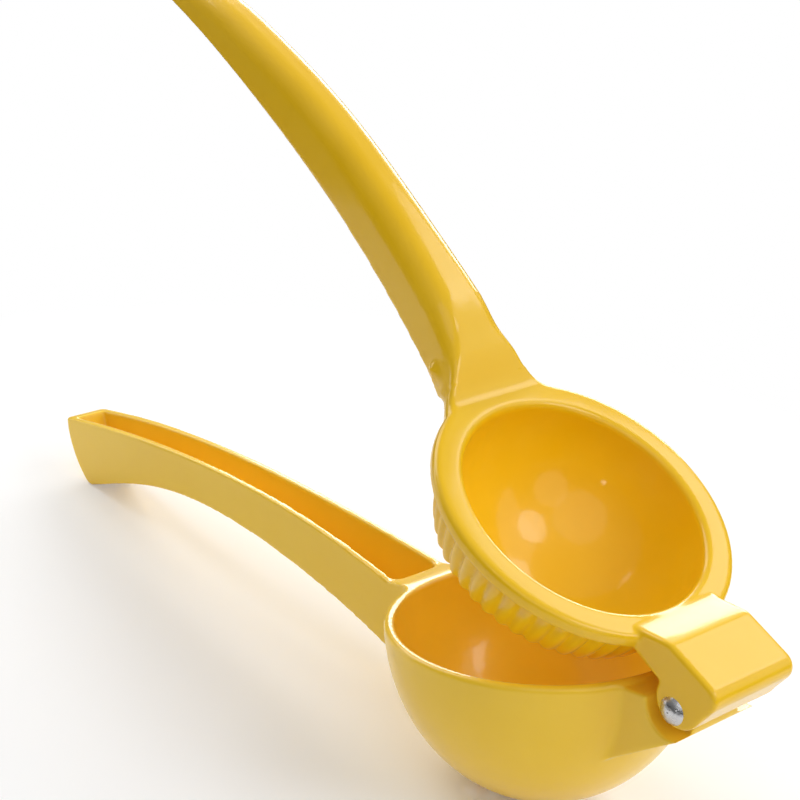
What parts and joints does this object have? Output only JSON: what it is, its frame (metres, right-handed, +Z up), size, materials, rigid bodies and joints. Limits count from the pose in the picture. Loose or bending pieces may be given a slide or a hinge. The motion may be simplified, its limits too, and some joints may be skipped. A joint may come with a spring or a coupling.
{
  "type": "hinged lemon squeezer",
  "caption": "Hand press for lemons: a perforated bowl and a hollow press cup on two channel handles that turn on a rivet, held open.",
  "frame": {"origin": "middle of the table-level footprint: centre of the bounding box at its lowest level", "axes": "+X from the handle ends to the hinge, +Y away from the near side along the rivet, +Z up"},
  "size_m": [0.2208, 0.067, 0.1467],
  "materials": {
    "yellow_enamel_lower": "gloss enamel on cast aluminium",
    "yellow_enamel_upper": "gloss enamel on cast aluminium",
    "rivet_steel": "bright steel"
  },
  "bodies": {
    "lower_half": {"bowl_and_lower_handle": "yellow_enamel_lower"},
    "upper_half": {"press_cup_and_upper_handle": "yellow_enamel_upper", "hinge_rivet": "rivet_steel"}
  },
  "joints": [
    {"name": "press_hinge", "type": "hinge", "parent": "lower_half", "child": "upper_half", "pos_m": [0.10125, 0, 0.04382], "axis": [0, 1, 0], "range_deg": [-35, 46]}
  ]
}
